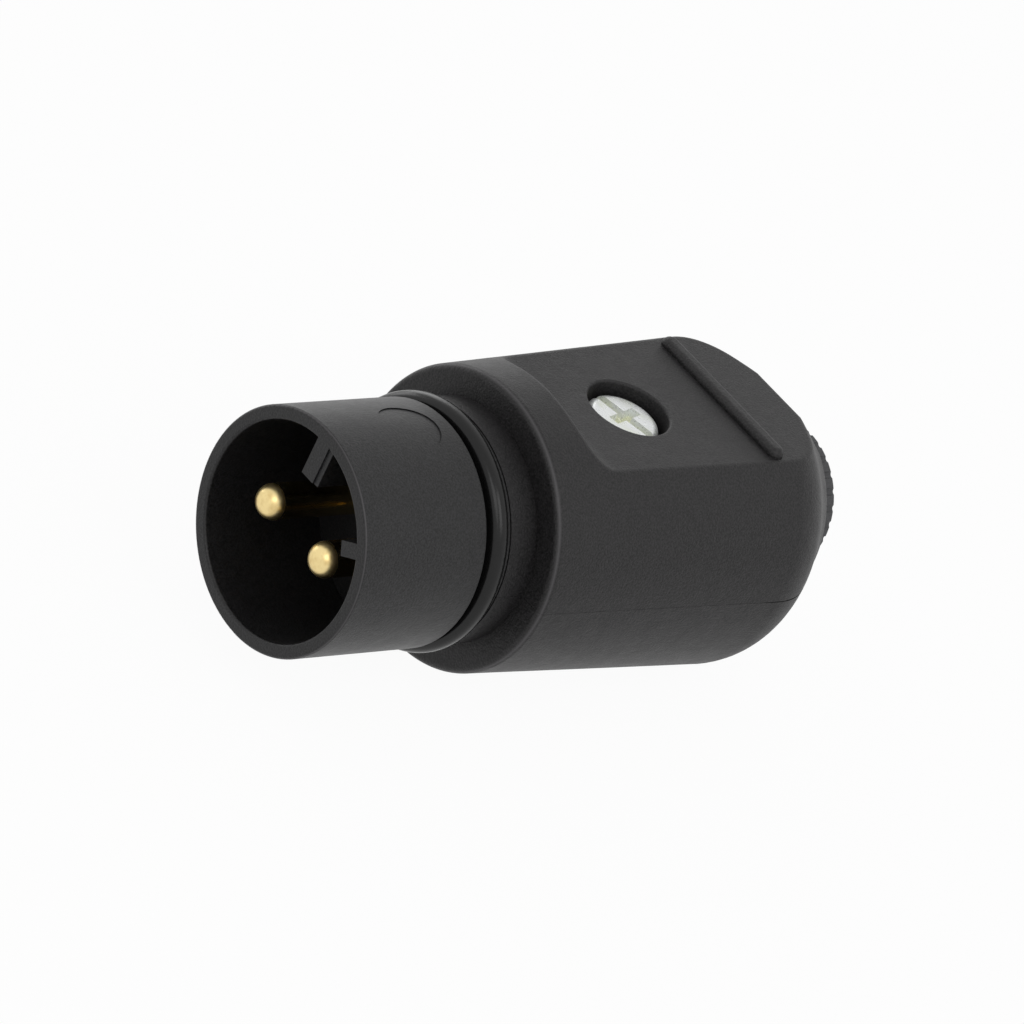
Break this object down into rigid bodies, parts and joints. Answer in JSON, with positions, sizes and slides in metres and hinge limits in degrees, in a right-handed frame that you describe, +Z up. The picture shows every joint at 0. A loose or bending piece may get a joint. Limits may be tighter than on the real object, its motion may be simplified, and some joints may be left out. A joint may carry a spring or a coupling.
{
  "type": "low voltage plug",
  "caption": "Round low voltage plug: pins in a keyed open collar, a two-shell black housing with a screw in its flat, and a cable grommet.",
  "frame": {"origin": "centre of the collar's front rim, on the plug's axis", "axes": "+X along the plug's axis from the rim to the cable end, +Z up towards the housing screw, seam between the shells in the XY plane"},
  "size_m": [0.0754, 0.0362, 0.035],
  "materials": {
    "housing": "fine spark-eroded grain, dark grey-black",
    "carrier": "fine grain, dark grey-black",
    "seal": "smooth, slightly glossy",
    "grommet": "matte",
    "contact": "turned",
    "screw": "zinc plated"
  },
  "bodies": {
    "root": {"upper_shell": "housing", "lower_shell": "housing", "contact_carrier": "carrier", "sealing_ring": "seal", "contact_pin_left": "contact", "contact_pin_right": "contact", "terminal_screw_left": "screw", "terminal_screw_right": "screw", "pin_retainer": "carrier", "retainer_screw_upper": "screw", "retainer_screw_lower": "screw", "housing_screw": "screw", "housing_nut": "screw", "screw_keeper": "carrier", "cable_clamp": "housing", "clamp_screw_left": "screw", "clamp_screw_right": "screw", "clamp_nut_left": "screw", "clamp_nut_right": "screw", "cable_grommet": "grommet"}
  },
  "joints": []
}
